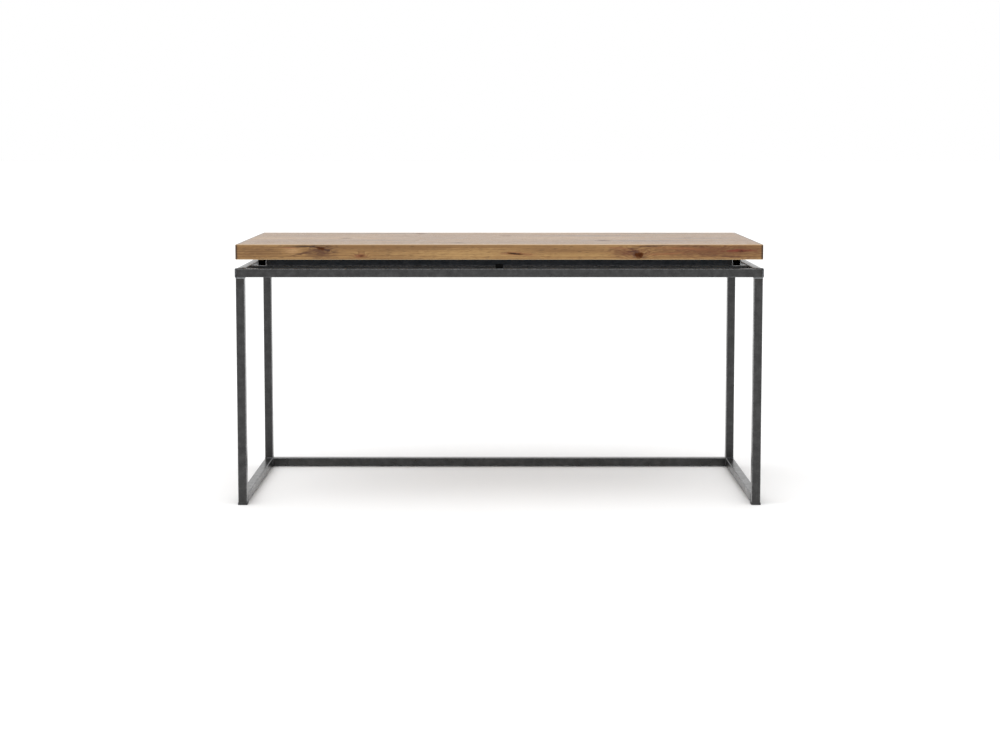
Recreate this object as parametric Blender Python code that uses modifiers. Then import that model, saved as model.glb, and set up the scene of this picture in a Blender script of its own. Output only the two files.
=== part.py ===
"""Height adjustable standing desk: a wooden top on a square tube frame that rises out of its own legs.

Metres, +Z up, the front at -Y. The origin is on the floor under the middle of the desk, which is
modelled at its lowest. Four posts hang from the frame under the top and slide in the four hollow
legs, each with a gas spring inside it. A paddle at the middle of the front rail turns a long shaft,
whose two cams press the release pins of the front pair of springs.
"""

import math

import bmesh
import bpy
from mathutils import Matrix, Vector

# The whole desk, at its lowest
DESK_WIDTH = 1.524
DESK_DEPTH = 0.6096
DESK_HEIGHT = 0.762
TOP_THICKNESS = 0.044
TOP_EDGE_RADIUS = 0.0012
LIFT_TRAVEL = 0.33

# Gap between two pieces that touch, and between two that slide
FIT = 0.0003

# Square tube of the frame
TUBE = 0.0254
TUBE_WALL = 0.0016
TUBE_CORNER = 0.002
CORNER_STEPS = 3

# Feet
FOOT_PLATE = 0.0027
FOOT_FLARE = 0.001
FOOT_PLUG = 0.012
FOOT_EDGE = 0.0006

# Telescoping posts and their plastic guides
BUSH_WALL = 0.001
BUSH_FLANGE = 0.0028
BUSH_SLEEVE = 0.030
POST_WALL = 0.0012
POST_CORNER = 0.0012
POST_START = 0.060
SHOE_LIP = 0.003
SHOE_HEIGHT = 0.026

# Gas springs
CYLINDER_CLEARANCE = 0.0008
CYLINDER_WALL = 0.0012
CYLINDER_FLOOR = 0.006
CYLINDER_SPARE = 0.045
CYLINDER_SETDOWN = 0.020
GLAND_LENGTH = 0.010
STANDOFF_WALL = 0.0015
STANDOFF_UNDERCUT = 0.0005
ROD_RADIUS = 0.003
ROD_STANDOUT = 0.0025
PISTON_LENGTH = 0.008
PISTON_START = 0.005
PIN_RADIUS = 0.001
PIN_STANDOUT = 0.005
PIN_DEPTH = 0.020
PIN_TRAVEL_ROOM = 0.003

# Release paddle, shaft and cams
SHAFT_RADIUS = 0.003
HUB_WALL = 0.0012
BEARING_EDGE = 0.0015
BEARING_LENGTH = 0.008
BEARING_SPACING = 1.0
CAM_LENGTH = 0.006
SHAFT_OVERHANG = 0.004
PADDLE_WIDTH = 0.022
PADDLE_BLADE = 0.004
PADDLE_RISE = 0.012
PADDLE_TIP_RADIUS = 0.0015
PADDLE_CLEARANCE = 0.001
PADDLE_TILT = math.radians(15)

# Spacer frame between the ring and the top, and the bars that carry it
SPACER_SIDE_INSET = 0.0508
SPACER_END_INSET = 0.1016
SPACER_RAIL_SETBACK = 0.002
TOP_SCREW_SETBACK = 0.080
SCREW_RADIUS = 0.0025
SCREW_BITE = 0.020
SCREW_POINT = 0.005
SCREW_HEAD_RADIUS = 0.005
SCREW_HEAD = 0.003
SCREW_HOLE_SPARE = 0.002

# Facets
ROUND_SIDES = 24
SMALL_ROUND_SIDES = 16
SMOOTH_ANGLE = math.radians(40)
CUTTER_REACH = 0.002

# Levels above the floor
RAIL_UNDERSIDE = FOOT_PLATE + FIT
BOTTOM_RAIL_TOP = RAIL_UNDERSIDE + TUBE
TOP_UNDERSIDE = DESK_HEIGHT - TOP_THICKNESS
SPACER_BOTTOM = TOP_UNDERSIDE - FIT - TUBE
RING_TOP = SPACER_BOTTOM - FIT
RING_BOTTOM = RING_TOP - TUBE
LEG_TOP = RING_BOTTOM - BUSH_FLANGE - 2 * FIT

# Legs, and what slides in them
LEG_X = (DESK_WIDTH - TUBE) / 2
LEG_Y = (DESK_DEPTH - TUBE) / 2
TUBE_BORE = TUBE - 2 * TUBE_WALL
POST = TUBE_BORE - 2 * (BUSH_WALL + 2 * FIT)
POST_BORE = POST - 2 * POST_WALL
CYLINDER_RADIUS = POST_BORE / 2 - CYLINDER_CLEARANCE
CYLINDER_BORE_RADIUS = CYLINDER_RADIUS - CYLINDER_WALL
CYLINDER_TOP = RING_BOTTOM - CYLINDER_SETDOWN
CYLINDER_BOTTOM = CYLINDER_TOP - LIFT_TRAVEL - CYLINDER_SPARE
ROD_TOP = RING_BOTTOM + TUBE_WALL + ROD_STANDOUT
PIN_TOP = ROD_TOP + PIN_STANDOUT

# Release shaft, behind the middle of the front rail so that its cams reach forward over the pins
SHAFT_OFFSET = TUBE_BORE / 2 - FIT - BEARING_EDGE - FIT - SHAFT_RADIUS
SHAFT_Y = -LEG_Y + SHAFT_OFFSET
HUB_RADIUS = SHAFT_RADIUS + FIT + HUB_WALL
SHAFT_Z = PIN_TOP + FIT + HUB_RADIUS

# Spacer frame
SPACER_X = DESK_WIDTH / 2 - SPACER_SIDE_INSET - TUBE / 2
SPACER_DEPTH = DESK_DEPTH - 2 * SPACER_END_INSET
CARRIER_Y = (SPACER_DEPTH - TUBE) / 2
TOP_SCREW_Y = SPACER_DEPTH / 2 - TOP_SCREW_SETBACK

# A prism's length runs along its own Z. These turn it to lie across the desk or from back to front.
# Its own X then points back across the desk, or right along it, and its own Y points up.
ACROSS = (math.radians(90), 0, math.radians(90))
BACK_TO_FRONT = (math.radians(90), 0, 0)

CORNERS = {
    "front_left": (-1, -1),
    "front_right": (1, -1),
    "back_left": (-1, 1),
    "back_right": (1, 1),
}

# Finish: base colour, roughness, metallic
FINISHES = {
    "solid_oak": ((0.29, 0.16, 0.08), 0.55, 0.0),
    "blackened_steel": ((0.06, 0.06, 0.06), 0.42, 1.0),
    "black_paint": ((0.02, 0.02, 0.02), 0.35, 0.0),
    "chromed_steel": ((0.75, 0.75, 0.76), 0.12, 1.0),
    "zinc_plated_steel": ((0.58, 0.60, 0.62), 0.3, 1.0),
    "grey_nylon": ((0.13, 0.13, 0.13), 0.5, 0.0),
    "black_nylon": ((0.012, 0.012, 0.012), 0.45, 0.0),
}


def clear_scene():
    for leftover in list(bpy.data.objects):
        bpy.data.objects.remove(leftover, do_unlink=True)


def new_collection(name):
    collection = bpy.data.collections.new(name)
    bpy.context.scene.collection.children.link(collection)
    return collection


clear_scene()
DESK = new_collection("standing_desk")
CUTTERS = new_collection("cutters")


def new_anchor(name, place, parent=None):
    """An empty on a joint's axis, which the pieces that move on the joint hang from."""
    anchor = bpy.data.objects.new(name, None)
    DESK.objects.link(anchor)
    anchor.parent = parent
    anchor.location = Vector(place) - (parent.matrix_world.translation if parent else Vector())
    bpy.context.view_layer.update()
    return anchor


BASE = new_anchor("base", (0, 0, 0))
LIFT = new_anchor("lift", (0, 0, RING_BOTTOM), BASE)
RELEASE = new_anchor("release", (0, SHAFT_Y, SHAFT_Z), LIFT)


def new_finish(piece, finish):
    """The piece's own material, a Principled surface in the finish's colour, roughness and metallic."""
    colour, roughness, metallic = FINISHES[finish]
    material = bpy.data.materials.new(f"{piece.name}_{finish}")
    material.use_nodes = True
    surface = material.node_tree.nodes["Principled BSDF"]
    surface.inputs["Base Color"].default_value = (*colour, 1)
    surface.inputs["Roughness"].default_value = roughness
    surface.inputs["Metallic"].default_value = metallic
    piece.data.materials.append(material)


def add_piece(name, mesh, place, parent, finish, turn=(0, 0, 0)):
    """A named piece of the desk at a place in the desk's own frame."""
    piece = bpy.data.objects.new(name, mesh)
    DESK.objects.link(piece)
    piece.parent = parent
    piece.location = Vector(place) - parent.matrix_world.translation
    piece.rotation_euler = turn
    new_finish(piece, finish)
    return piece


def cut(piece, name, mesh, place, turn=(0, 0, 0)):
    """Cuts a shape out of a piece, and leaves the cutter hidden beside it."""
    cutter = bpy.data.objects.new(name, mesh)
    CUTTERS.objects.link(cutter)
    cutter.parent = piece.parent
    cutter.location = Vector(place) - piece.parent.matrix_world.translation
    cutter.rotation_euler = turn
    cutter.hide_render = True
    cutter.display_type = "WIRE"
    boolean = piece.modifiers.new(name, "BOOLEAN")
    boolean.operation = "DIFFERENCE"
    boolean.solver = "EXACT"
    boolean.object = cutter


def baked(shape, weld=1e-6):
    """The mesh that an object's curve or modifiers make, with its caps welded, in place of the object."""
    bpy.context.scene.collection.objects.link(shape)
    evaluated = shape.evaluated_get(bpy.context.evaluated_depsgraph_get())
    mesh = bpy.data.meshes.new_from_object(evaluated)
    bpy.data.objects.remove(shape, do_unlink=True)
    work = bmesh.new()
    work.from_mesh(mesh)
    bmesh.ops.remove_doubles(work, verts=work.verts, dist=weld)
    bmesh.ops.recalc_face_normals(work, faces=work.faces)
    work.to_mesh(mesh)
    work.free()
    mesh.shade_smooth()
    mesh.set_sharp_from_angle(angle=SMOOTH_ANGLE)
    return mesh


def arc(centre, radius, start, end, steps):
    """Points on an arc, from one angle to the other, with both ends."""
    angles = [start + (end - start) * step / steps for step in range(steps + 1)]
    return [(centre[0] + radius * math.cos(a), centre[1] + radius * math.sin(a)) for a in angles]


def square_outline(width, corner=0.0, steps=CORNER_STEPS):
    """A square about the middle, with its corners rounded where a radius is given."""
    reach = width / 2 - corner
    if not corner:
        return [(reach, reach), (-reach, reach), (-reach, -reach), (reach, -reach)]
    points = []
    for quarter, (x, y) in enumerate([(1, 1), (-1, 1), (-1, -1), (1, -1)]):
        start = quarter * math.pi / 2
        points += arc((x * reach, y * reach), corner, start, start + math.pi / 2, steps)
    return points


def prism(outlines, length):
    """A flat outline, with any holes in it, drawn out to a length along Z."""
    curve = bpy.data.curves.new("outline", "CURVE")
    curve.dimensions = "2D"
    curve.fill_mode = "BOTH"
    curve.extrude = length / 2
    for outline in outlines:
        spline = curve.splines.new("POLY")
        spline.points.add(len(outline) - 1)
        for point, (x, y) in zip(spline.points, outline):
            point.co = (x, y, 0, 1)
        spline.use_cyclic_u = True
    return baked(bpy.data.objects.new("outline", curve))


def square_tube(width, bore, corner, length, mitred=(), inner=1):
    """A square tube along Z. A mitred end slopes back to the side of X that inner names, 1 or -1."""
    mesh = prism([square_outline(width, corner), square_outline(bore)], length)
    for vertex in mesh.vertices:
        end = 1 if vertex.co.z > 0 else -1
        if end in mitred:
            slope = vertex.co.x * inner + width / 2
            vertex.co.z -= end * (slope + FIT / math.sqrt(2))
    mesh.update()
    return mesh


def frame_tube(length, mitred=(), inner=1):
    return square_tube(TUBE, TUBE_BORE, TUBE_CORNER, length, mitred, inner)


def turned(profile, sides, closed=False):
    """A profile of (half width, height) turned round Z. Four sides make a square piece, flats outwards.

    The profile runs down its outer side. An open one starts and ends on the axis.
    """
    square = sides == 4
    reach = math.sqrt(2) if square else 1
    mesh = bpy.data.meshes.new("profile")
    edges = [(i, i + 1) for i in range(len(profile) - 1)]
    if closed:
        edges.append((len(profile) - 1, 0))
    mesh.from_pydata([(half * reach, 0, height) for half, height in profile], edges, [])
    shape = bpy.data.objects.new("profile", mesh)
    screw = shape.modifiers.new("turn", "SCREW")
    screw.steps = sides
    screw.render_steps = sides
    screw.use_merge_vertices = True
    screw.merge_threshold = 1e-6
    turned_mesh = baked(shape)
    if square:
        turned_mesh.transform(Matrix.Rotation(math.radians(45), 4, "Z"))
    return turned_mesh


def drilled(radius, length, sides=SMALL_ROUND_SIDES):
    """A plain cylinder about the middle of its length, for cutting a round hole."""
    work = bmesh.new()
    bmesh.ops.create_cone(
        work, cap_ends=True, segments=sides, radius1=radius, radius2=radius, depth=length
    )
    mesh = bpy.data.meshes.new("drilled")
    work.to_mesh(mesh)
    work.free()
    return mesh


def block(width, depth, height):
    """A plain box about its middle."""
    work = bmesh.new()
    bmesh.ops.create_cube(work, size=1)
    bmesh.ops.scale(work, vec=(width, depth, height), verts=work.verts)
    mesh = bpy.data.meshes.new("block")
    work.to_mesh(mesh)
    work.free()
    return mesh


def add_legs():
    """Square tube legs. The front pair stands on its feet, and the back pair on the floor rails."""
    for corner, (x, y) in CORNERS.items():
        bottom = RAIL_UNDERSIDE if y < 0 else BOTTOM_RAIL_TOP + FIT
        middle = (bottom + LEG_TOP) / 2
        mesh = frame_tube(LEG_TOP - bottom)
        add_piece(f"leg_{corner}", mesh, (x * LEG_X, y * LEG_Y, middle), BASE, "blackened_steel")


def add_bottom_rails():
    """A U of floor rails, open at the front for the feet, mitred at the two back corners."""
    height = RAIL_UNDERSIDE + TUBE / 2
    length = DESK_DEPTH - TUBE - FIT
    for side, x in (("left", -1), ("right", 1)):
        mesh = frame_tube(length, mitred=(-1,), inner=-x)
        place = (x * LEG_X, (DESK_DEPTH - length) / 2, height)
        add_piece(f"bottom_rail_{side}", mesh, place, BASE, "blackened_steel", BACK_TO_FRONT)
    mesh = frame_tube(DESK_WIDTH, mitred=(-1, 1), inner=-1)
    add_piece("bottom_rail_back", mesh, (0, LEG_Y, height), BASE, "blackened_steel", ACROSS)


def add_feet():
    """Plastic feet: a plug pushed up each front leg, and a pad under each back corner."""
    plate = TUBE / 2 + FOOT_FLARE
    plug = TUBE_BORE / 2 - FIT
    edge = [(plate - FOOT_EDGE, FOOT_PLATE), (plate, FOOT_PLATE - FOOT_EDGE), (plate, 0)]
    front = [(0, FOOT_PLATE + FOOT_PLUG), (plug, FOOT_PLATE + FOOT_PLUG), (plug, FOOT_PLATE)]
    back = [(0, FOOT_PLATE)]
    for corner, (x, y) in CORNERS.items():
        start = front if y < 0 else back
        mesh = turned([*start, *edge, (0, 0)], 4)
        add_piece(f"foot_{corner}", mesh, (x * LEG_X, y * LEG_Y, 0), BASE, "black_nylon")


def add_guide_bushes():
    """Nylon guides in the tops of the legs, with a thin flange that shows under the ring."""
    bore = POST / 2 + FIT
    sleeve = TUBE_BORE / 2 - FIT
    top = RING_BOTTOM - FIT
    flange = top - BUSH_FLANGE
    bottom = flange - BUSH_SLEEVE
    profile = [
        (bore, top),
        (TUBE / 2, top),
        (TUBE / 2, flange),
        (sleeve, flange),
        (sleeve, bottom),
        (bore, bottom),
    ]
    for corner, (x, y) in CORNERS.items():
        mesh = turned(profile, 4, closed=True)
        add_piece(f"guide_bush_{corner}", mesh, (x * LEG_X, y * LEG_Y, 0), BASE, "grey_nylon")


def add_inner_posts():
    """The posts that slide in the legs, each with a nylon shoe clipped on its lower end."""
    length = RING_BOTTOM - FIT - POST_START
    middle = POST_START + length / 2
    outer = TUBE_BORE / 2 - FIT
    socket = POST / 2 + FIT
    lip = POST_BORE / 2
    lip_top = POST_START - FIT
    shoe_top = POST_START + SHOE_HEIGHT
    shoe_bottom = lip_top - SHOE_LIP
    profile = [
        (socket, shoe_top),
        (outer, shoe_top),
        (outer, shoe_bottom),
        (lip, shoe_bottom),
        (lip, lip_top),
        (socket, lip_top),
    ]
    for corner, (x, y) in CORNERS.items():
        mesh = square_tube(POST, POST_BORE, POST_CORNER, length)
        place = (x * LEG_X, y * LEG_Y, middle)
        add_piece(f"inner_post_{corner}", mesh, place, LIFT, "zinc_plated_steel")
        mesh = turned(profile, 4, closed=True)
        add_piece(f"post_shoe_{corner}", mesh, (x * LEG_X, y * LEG_Y, 0), LIFT, "grey_nylon")


def add_gas_springs():
    """A gas spring in each leg: a cylinder on a standoff, and a rod that pushes the ring up.

    The front pair can be locked. Each of its rods has a release pin down its middle.
    """
    floor = CYLINDER_BOTTOM + CYLINDER_FLOOR
    gland = ROD_RADIUS + FIT
    cylinder = [
        (0, floor),
        (CYLINDER_BORE_RADIUS, floor),
        (CYLINDER_BORE_RADIUS, CYLINDER_TOP - GLAND_LENGTH),
        (gland, CYLINDER_TOP - GLAND_LENGTH),
        (gland, CYLINDER_TOP),
        (CYLINDER_RADIUS, CYLINDER_TOP),
        (CYLINDER_RADIUS, CYLINDER_BOTTOM),
        (0, CYLINDER_BOTTOM),
    ]
    piston_bottom = floor + PISTON_START
    piston_top = piston_bottom + PISTON_LENGTH
    piston = CYLINDER_BORE_RADIUS - FIT
    rod = [
        (ROD_RADIUS, ROD_TOP),
        (ROD_RADIUS, piston_top),
        (piston, piston_top),
        (piston, piston_bottom),
        (0, piston_bottom),
    ]
    pin_hole = [(0, ROD_TOP - PIN_DEPTH), (PIN_RADIUS + FIT, ROD_TOP - PIN_DEPTH)]
    pin_hole.append((PIN_RADIUS + FIT, ROD_TOP))
    standoff = CYLINDER_RADIUS - STANDOFF_UNDERCUT
    standoff_top = CYLINDER_BOTTOM - FIT
    for corner, (x, y) in CORNERS.items():
        axis = (x * LEG_X, y * LEG_Y, 0)
        mesh = turned(cylinder, ROUND_SIDES)
        add_piece(f"spring_cylinder_{corner}", mesh, axis, BASE, "black_paint")
        start = pin_hole if y < 0 else [(0, ROD_TOP)]
        mesh = turned([*start, *rod], SMALL_ROUND_SIDES)
        add_piece(f"spring_rod_{corner}", mesh, axis, LIFT, "chromed_steel")
        foot = FOOT_PLATE + FOOT_PLUG if y < 0 else BOTTOM_RAIL_TOP
        bottom = foot + FIT
        profile = [
            (standoff - STANDOFF_WALL, standoff_top),
            (standoff, standoff_top),
            (standoff, bottom),
            (standoff - STANDOFF_WALL, bottom),
        ]
        mesh = turned(profile, SMALL_ROUND_SIDES, closed=True)
        add_piece(f"spring_standoff_{corner}", mesh, axis, BASE, "zinc_plated_steel")


def add_release_pins():
    """The pins that unlock the two front springs, each in its own hole down the rod."""
    pin_bottom = ROD_TOP - PIN_DEPTH + PIN_TRAVEL_ROOM
    profile = [(0, PIN_TOP), (PIN_RADIUS, PIN_TOP), (PIN_RADIUS, pin_bottom), (0, pin_bottom)]
    for side, x in (("left", -1), ("right", 1)):
        anchor = new_anchor(f"pin_{side}", (x * LEG_X, -LEG_Y, PIN_TOP), LIFT)
        mesh = turned(profile, SMALL_ROUND_SIDES)
        name = f"release_pin_{side}"
        add_piece(name, mesh, (x * LEG_X, -LEG_Y, 0), anchor, "zinc_plated_steel")


def add_ring():
    """The square tube ring on top of the legs, mitred at its corners, with a hole for each rod."""
    height = RING_BOTTOM + TUBE / 2
    rails = {}
    for side, y in (("front", -1), ("back", 1)):
        mesh = frame_tube(DESK_WIDTH, mitred=(-1, 1), inner=-y)
        name = f"ring_rail_{side}"
        place = (0, y * LEG_Y, height)
        rails[side] = add_piece(name, mesh, place, LIFT, "blackened_steel", ACROSS)
    for side, x in (("left", -1), ("right", 1)):
        mesh = frame_tube(DESK_DEPTH, mitred=(-1, 1), inner=-x)
        name = f"ring_rail_{side}"
        place = (x * LEG_X, 0, height)
        rails[side] = add_piece(name, mesh, place, LIFT, "blackened_steel", BACK_TO_FRONT)
    depth = TUBE_WALL + 2 * CUTTER_REACH
    for corner, (x, y) in CORNERS.items():
        for side in corner.split("_"):
            mesh = drilled(ROD_RADIUS + FIT, depth)
            place = (x * LEG_X, y * LEG_Y, RING_BOTTOM + TUBE_WALL / 2)
            cut(rails[side], f"rod_hole_{corner}_{side}", mesh, place)
    cut_paddle_slot(rails["front"], depth)


def cut_paddle_slot(rail, depth):
    """The slot in the top of the front rail that the paddle's blade stands in and tilts forward in."""
    tilt = (RING_TOP - SHAFT_Z) * math.tan(PADDLE_TILT) + PADDLE_BLADE / 2 / math.cos(PADDLE_TILT)
    front = SHAFT_Y - tilt - PADDLE_CLEARANCE
    back = SHAFT_Y + PADDLE_BLADE / 2 + PADDLE_CLEARANCE
    mesh = block(PADDLE_WIDTH + 2 * PADDLE_CLEARANCE, back - front, depth)
    place = (0, (front + back) / 2, RING_TOP - TUBE_WALL / 2)
    cut(rail, "paddle_slot", mesh, place)


def add_release():
    """The paddle, its shaft along the inside of the front rail, the two cams and the two bearings."""
    bore = arc((0, 0), SHAFT_RADIUS + FIT, 0, 2 * math.pi, SMALL_ROUND_SIDES)[:-1]

    half = PADDLE_BLADE / 2
    top = RING_TOP + PADDLE_RISE - SHAFT_Z
    neck = math.asin(half / HUB_RADIUS)
    up = math.pi / 2
    outline = arc((0, 0), HUB_RADIUS, up + neck, up - neck + 2 * math.pi, SMALL_ROUND_SIDES)
    tip = half - PADDLE_TIP_RADIUS
    outline += arc((tip, top - PADDLE_TIP_RADIUS), PADDLE_TIP_RADIUS, 0, up, CORNER_STEPS)
    outline += arc((-tip, top - PADDLE_TIP_RADIUS), PADDLE_TIP_RADIUS, up, 2 * up, CORNER_STEPS)
    mesh = prism([outline, bore], PADDLE_WIDTH)
    middle = (0, SHAFT_Y, SHAFT_Z)
    add_piece("release_paddle", mesh, middle, RELEASE, "black_nylon", ACROSS)

    shaft_end = LEG_X + SHAFT_OVERHANG
    profile = [(0, shaft_end), (SHAFT_RADIUS, shaft_end), (SHAFT_RADIUS, -shaft_end), (0, -shaft_end)]
    mesh = turned(profile, SMALL_ROUND_SIDES)
    add_piece("release_shaft", mesh, middle, RELEASE, "zinc_plated_steel", ACROSS)

    outline = arc((0, 0), HUB_RADIUS, -up, up, SMALL_ROUND_SIDES // 2)
    outline += arc((-SHAFT_OFFSET, 0), HUB_RADIUS, up, 3 * up, SMALL_ROUND_SIDES // 2)
    for side, x in (("left", -1), ("right", 1)):
        mesh = prism([outline, bore], CAM_LENGTH)
        place = (x * LEG_X, SHAFT_Y, SHAFT_Z)
        add_piece(f"release_cam_{side}", mesh, place, RELEASE, "zinc_plated_steel", ACROSS)

    rise = SHAFT_Z - (RING_BOTTOM + TUBE / 2)
    hole = [(y + SHAFT_OFFSET, z + rise) for y, z in bore]
    for side, x in (("left", -1), ("right", 1)):
        mesh = prism([square_outline(TUBE_BORE - 2 * FIT), hole], BEARING_LENGTH)
        place = (x * BEARING_SPACING / 2, -LEG_Y, RING_BOTTOM + TUBE / 2)
        add_piece(f"shaft_bearing_{side}", mesh, place, LIFT, "black_nylon", ACROSS)


def add_carrier_bars():
    """Two bars across the ring, level with it, that carry the spacer frame."""
    length = DESK_WIDTH - 2 * (TUBE + FIT)
    for side, y in (("front", -1), ("back", 1)):
        place = (0, y * CARRIER_Y, RING_BOTTOM + TUBE / 2)
        mesh = frame_tube(length)
        add_piece(f"carrier_bar_{side}", mesh, place, LIFT, "blackened_steel", ACROSS)


def add_spacer_frame():
    """The recessed frame that lifts the top off the ring, with a brace down its middle."""
    height = SPACER_BOTTOM + TUBE / 2
    length = 2 * (SPACER_X - TUBE / 2 - FIT)
    rail_y = CARRIER_Y - SPACER_RAIL_SETBACK
    for side, y in (("front", -1), ("back", 1)):
        name = f"spacer_rail_{side}"
        place = (0, y * rail_y, height)
        add_piece(name, frame_tube(length), place, LIFT, "blackened_steel", ACROSS)
    brace = 2 * (rail_y - TUBE / 2 - FIT)
    place = (0, 0, height)
    add_piece("spacer_brace", frame_tube(brace), place, LIFT, "blackened_steel", BACK_TO_FRONT)
    sides = {}
    for side, x in (("left", -1), ("right", 1)):
        name = f"spacer_rail_{side}"
        place = (x * SPACER_X, 0, height)
        mesh = frame_tube(SPACER_DEPTH)
        sides[x] = add_piece(name, mesh, place, LIFT, "blackened_steel", BACK_TO_FRONT)
    return sides


def add_top(spacer_sides):
    """The solid wooden top, with its edges eased, and the four screws that hold it to the spacer."""
    place = (0, 0, DESK_HEIGHT - TOP_THICKNESS / 2)
    mesh = block(DESK_WIDTH, DESK_DEPTH, TOP_THICKNESS)
    desktop = add_piece("desktop", mesh, place, LIFT, "solid_oak")
    bevel = desktop.modifiers.new("eased_edges", "BEVEL")
    bevel.width = TOP_EDGE_RADIUS
    bevel.segments = 2

    head_top = SPACER_BOTTOM - FIT
    head_bottom = head_top - SCREW_HEAD
    point = TOP_UNDERSIDE + SCREW_BITE
    profile = [
        (0, point),
        (SCREW_RADIUS, point - SCREW_POINT),
        (SCREW_RADIUS, head_top),
        (SCREW_HEAD_RADIUS, head_top),
        (SCREW_HEAD_RADIUS, head_bottom),
        (0, head_bottom),
    ]
    hole = SCREW_RADIUS + FIT
    hole_top = point + SCREW_HOLE_SPARE
    for corner, (x, y) in CORNERS.items():
        axis = (x * SPACER_X, y * TOP_SCREW_Y, 0)
        mesh = turned(profile, SMALL_ROUND_SIDES)
        add_piece(f"top_screw_{corner}", mesh, axis, LIFT, "zinc_plated_steel")
        for target, bottom in ((desktop, TOP_UNDERSIDE), (spacer_sides[x], SPACER_BOTTOM)):
            start = bottom - CUTTER_REACH
            mesh = drilled(hole, hole_top - start)
            place = (axis[0], axis[1], (start + hole_top) / 2)
            cut(target, f"screw_hole_{corner}_{target.name}", mesh, place)


add_legs()
add_bottom_rails()
add_feet()
add_guide_bushes()
add_inner_posts()
add_gas_springs()
add_release_pins()
add_ring()
add_release()
add_carrier_bars()
add_top(add_spacer_frame())
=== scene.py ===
"""Looks of the height adjustable standing desk: blackened steel tube, welded, under an oak top.

Metres, +Z up, the front at -Y. Sections follow the desk as it is put together, from the floor up.
"""

import math

import bmesh
import bpy
from mathutils import Matrix, Vector, noise


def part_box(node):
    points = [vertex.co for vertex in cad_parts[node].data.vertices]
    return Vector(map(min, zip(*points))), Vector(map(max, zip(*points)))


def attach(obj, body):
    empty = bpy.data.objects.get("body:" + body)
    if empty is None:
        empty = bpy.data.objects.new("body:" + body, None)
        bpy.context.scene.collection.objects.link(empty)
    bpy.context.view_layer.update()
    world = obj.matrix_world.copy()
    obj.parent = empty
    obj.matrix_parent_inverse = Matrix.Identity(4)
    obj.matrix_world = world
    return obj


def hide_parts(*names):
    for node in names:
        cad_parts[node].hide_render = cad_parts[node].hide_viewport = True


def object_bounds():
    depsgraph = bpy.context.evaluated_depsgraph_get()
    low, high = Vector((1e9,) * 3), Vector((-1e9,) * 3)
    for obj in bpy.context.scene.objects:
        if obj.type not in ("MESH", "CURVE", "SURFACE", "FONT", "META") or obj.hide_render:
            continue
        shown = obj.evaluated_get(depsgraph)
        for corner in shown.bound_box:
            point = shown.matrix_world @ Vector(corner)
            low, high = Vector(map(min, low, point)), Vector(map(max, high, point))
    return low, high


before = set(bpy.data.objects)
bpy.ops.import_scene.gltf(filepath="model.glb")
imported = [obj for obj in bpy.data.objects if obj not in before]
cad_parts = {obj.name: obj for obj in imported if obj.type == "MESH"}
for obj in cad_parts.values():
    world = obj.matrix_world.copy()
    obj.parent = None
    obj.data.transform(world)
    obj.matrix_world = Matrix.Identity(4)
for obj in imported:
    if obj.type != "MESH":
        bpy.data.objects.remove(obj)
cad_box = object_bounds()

# ---------------------------------------------------------------------------------------------
# Legs and floor rails. Cold drawn mild steel tube, 25 mm square, sawn and welded, then blackened
# in a hot bath and waxed: a dark grey bloom, mottled where the bath drained, thin and worn on the
# corners. The pale corners are partly that wear and partly a painted highlight.

PATINA_BLOOM = 0.022
PATINA_SPECK = 0.0045
# Drawing marks are a tenth of this across on the real tube. They are drawn as fine as can show.
DRAW_MARK_WIDTH = 0.0022
DRAW_MARK_LENGTH = 0.11
WORN_HIGHLIT_CORNER = 0.0034
HEAT_TINT = 0.020
HEAT_TINT_DEEPEST = 0.004
END_HIGHLIGHT_WIDTH = 0.0008
STEEL_DARK = "#2c2c2c"
STEEL_BODY = "#363636"
STEEL_PALE = "#424242"
STEEL_WORN_HIGHLIGHT = "#77787a"
STEEL_HEATED = "#2f2c2a"
STEEL_END_HIGHLIGHT = "#a4a6a8"
WAXED_TUBE = (STEEL_DARK, STEEL_BODY, STEEL_PALE)

# Settings of a node that lays one colour over another, and of one that eases a value into a range
LAID = {"data_type": "RGBA", "out": 2}
EASED = {"interpolation_type": "SMOOTHSTEP"}


def colour(code):
    """An sRGB hex colour as linear RGBA."""
    parts = [int(code[i:i + 2], 16) / 255 for i in (1, 3, 5)]
    return (*[p / 12.92 if p <= 0.04045 else ((p + 0.055) / 1.055) ** 2.4 for p in parts], 1.0)


def add_node(tree, kind, inputs=(), out=0, stops=(), **settings):
    """Adds a node with its settings, inputs and a ramp's stops, and gives one of its outputs.

    Inputs come in order, or by name or number. Each is an output to link, a value or a hex colour.
    """
    node = tree.nodes.new(f"ShaderNode{kind}")
    for name, value in settings.items():
        setattr(node, name, value)
    for name, value in inputs.items() if isinstance(inputs, dict) else enumerate(inputs):
        if isinstance(value, bpy.types.NodeSocket):
            tree.links.new(value, node.inputs[name])
        else:
            node.inputs[name].default_value = colour(value) if isinstance(value, str) else value
    for _ in stops[2:]:
        node.color_ramp.elements.new(1.0)
    for stop, (position, code) in enumerate(stops):
        element = node.color_ramp.elements[stop]
        element.position = position
        element.color = colour(code)
    return node.outputs[out] if node.outputs else None


def new_material(name):
    """An empty material and its node tree."""
    material = bpy.data.materials.new(name)
    material.use_nodes = True
    material.node_tree.nodes.clear()
    return material, material.node_tree


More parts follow.
